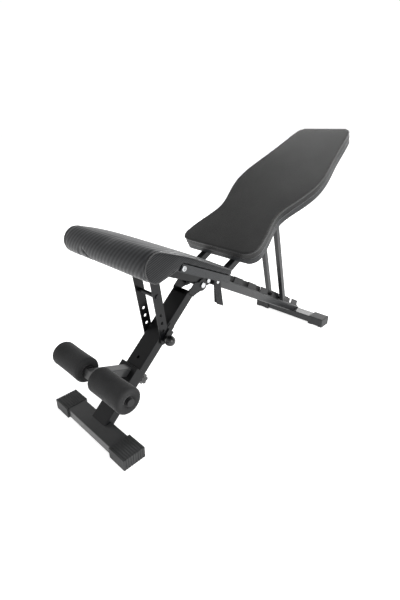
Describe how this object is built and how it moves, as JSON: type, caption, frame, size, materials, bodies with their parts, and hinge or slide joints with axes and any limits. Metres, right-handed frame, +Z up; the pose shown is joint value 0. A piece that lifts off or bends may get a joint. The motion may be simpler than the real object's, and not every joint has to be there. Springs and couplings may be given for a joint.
{
  "type": "sit-up bench",
  "caption": "Folding decline sit-up bench with a rolled seat, contoured backrest on a notched prop, twin foam leg rollers and T-shaped feet.",
  "frame": {"origin": "on the floor under the middle of the bench's overall box", "axes": "+Z up, +Y from the leg hold towards the raised end of the backrest, +X towards the pull pin's side"},
  "size_m": [0.373, 1.2438, 0.8177],
  "materials": {
    "frame_paint": "satin powder coat",
    "chrome": "bright plated",
    "cap_rubber": "matt",
    "knob_plastic": "polished",
    "foam": "matt foam",
    "plastic": "matt",
    "seat_vinyl": "fine woven-look vinyl",
    "back_vinyl": "smooth vinyl",
    "board": "vinyl wrapped board",
    "webbing": "woven strap",
    "bare_steel": "brushed"
  },
  "bodies": {
    "rear_frame": {"main_beam": "frame_paint", "rear_foot_tube": "frame_paint", "rear_foot_cap_left": "cap_rubber", "rear_foot_cap_right": "cap_rubber", "rack_left": "frame_paint", "rack_right": "frame_paint", "cheek_left": "frame_paint", "cheek_right": "frame_paint", "fold_bolt": "chrome", "fold_spacer": "frame_paint", "seat_bolt": "chrome", "hinge_bracket_left": "frame_paint", "hinge_bracket_right": "frame_paint", "strap": "webbing", "strap_bolt": "chrome"},
    "front_leg": {"front_post": "frame_paint", "ear_left": "frame_paint", "ear_right": "frame_paint", "front_foot_tube": "frame_paint", "front_foot_cap_left": "cap_rubber", "front_foot_cap_right": "cap_rubber", "pin_bracket": "frame_paint", "leg_hold_channel": "frame_paint", "leg_hold_spacer": "frame_paint", "leg_hold_arm": "frame_paint", "roller_axle": "frame_paint", "axle_collars": "plastic", "axle_plug_left": "plastic", "axle_plug_right": "plastic"},
    "roller_left": {"roller_foam_left": "foam", "roller_sleeve_left": "plastic"},
    "roller_right": {"roller_foam_right": "foam", "roller_sleeve_right": "plastic"},
    "clamp_knob": {"hand_knob": "knob_plastic", "knob_stud": "bare_steel"},
    "pull_pin": {"pull_pin": "bare_steel", "pin_ball": "knob_plastic"},
    "seat": {"seat_frame": "frame_paint", "seat_board": "board", "seat_cushion": "seat_vinyl", "board_studs": "chrome", "strut_bolt": "chrome", "strut_spacers": "frame_paint"},
    "seat_struts": {"strut_left": "frame_paint", "strut_right": "frame_paint", "strut_tie_bolt": "frame_paint"},
    "backrest": {"back_rail_left": "frame_paint", "back_rail_right": "frame_paint", "hinge_tube": "frame_paint", "prop_axle": "frame_paint", "back_board": "board", "back_cushion": "back_vinyl"},
    "prop": {"prop_leg_left": "frame_paint", "prop_leg_right": "frame_paint", "prop_bar": "frame_paint"}
  },
  "joints": [
    {"name": "fold_hinge", "type": "hinge", "parent": "rear_frame", "child": "front_leg", "pos_m": [0, -0.17282, 0.355], "axis": [1, 0, 0], "range_deg": [0, 100]},
    {"name": "roller_left_spin", "type": "hinge", "parent": "front_leg", "child": "roller_left", "pos_m": [-0.097, -0.57725, 0.19454], "axis": [1, 0, 0], "continuous": true},
    {"name": "roller_right_spin", "type": "hinge", "parent": "front_leg", "child": "roller_right", "pos_m": [0.097, -0.57725, 0.19454], "axis": [1, 0, 0], "continuous": true},
    {"name": "clamp_knob_turn", "type": "hinge", "parent": "front_leg", "child": "clamp_knob", "pos_m": [0, -0.44842, 0.13442], "axis": [0, -0.6748, 0.738], "continuous": true},
    {"name": "pull_pin_slide", "type": "slide", "parent": "front_leg", "child": "pull_pin", "axis": [1, 0, 0], "range_m": [0, 0.012], "stiffness_N_per_m": 800, "springref_m": -0.01},
    {"name": "seat_hinge", "type": "hinge", "parent": "rear_frame", "child": "seat", "pos_m": [0, -0.14139, 0.36102], "axis": [1, 0, 0], "range_deg": [0, 20]},
    {"name": "strut_hinge", "type": "hinge", "parent": "seat", "child": "seat_struts", "pos_m": [0, -0.3809, 0.46967], "axis": [1, 0, 0], "range_deg": [-8, 0.5]},
    {"name": "backrest_hinge", "type": "hinge", "parent": "rear_frame", "child": "backrest", "pos_m": [0, -0.1014, 0.38503], "axis": [1, 0, 0], "range_deg": [0, 38]},
    {"name": "prop_hinge", "type": "hinge", "parent": "backrest", "child": "prop", "pos_m": [0, 0.21561, 0.54921], "axis": [1, 0, 0], "range_deg": [-38, 0.5]}
  ],
  "couplings": [
    {"joint": "strut_hinge", "follows": "seat_hinge", "ratio": -0.36},
    {"joint": "prop_hinge", "follows": "backrest_hinge", "ratio": -0.8}
  ]
}
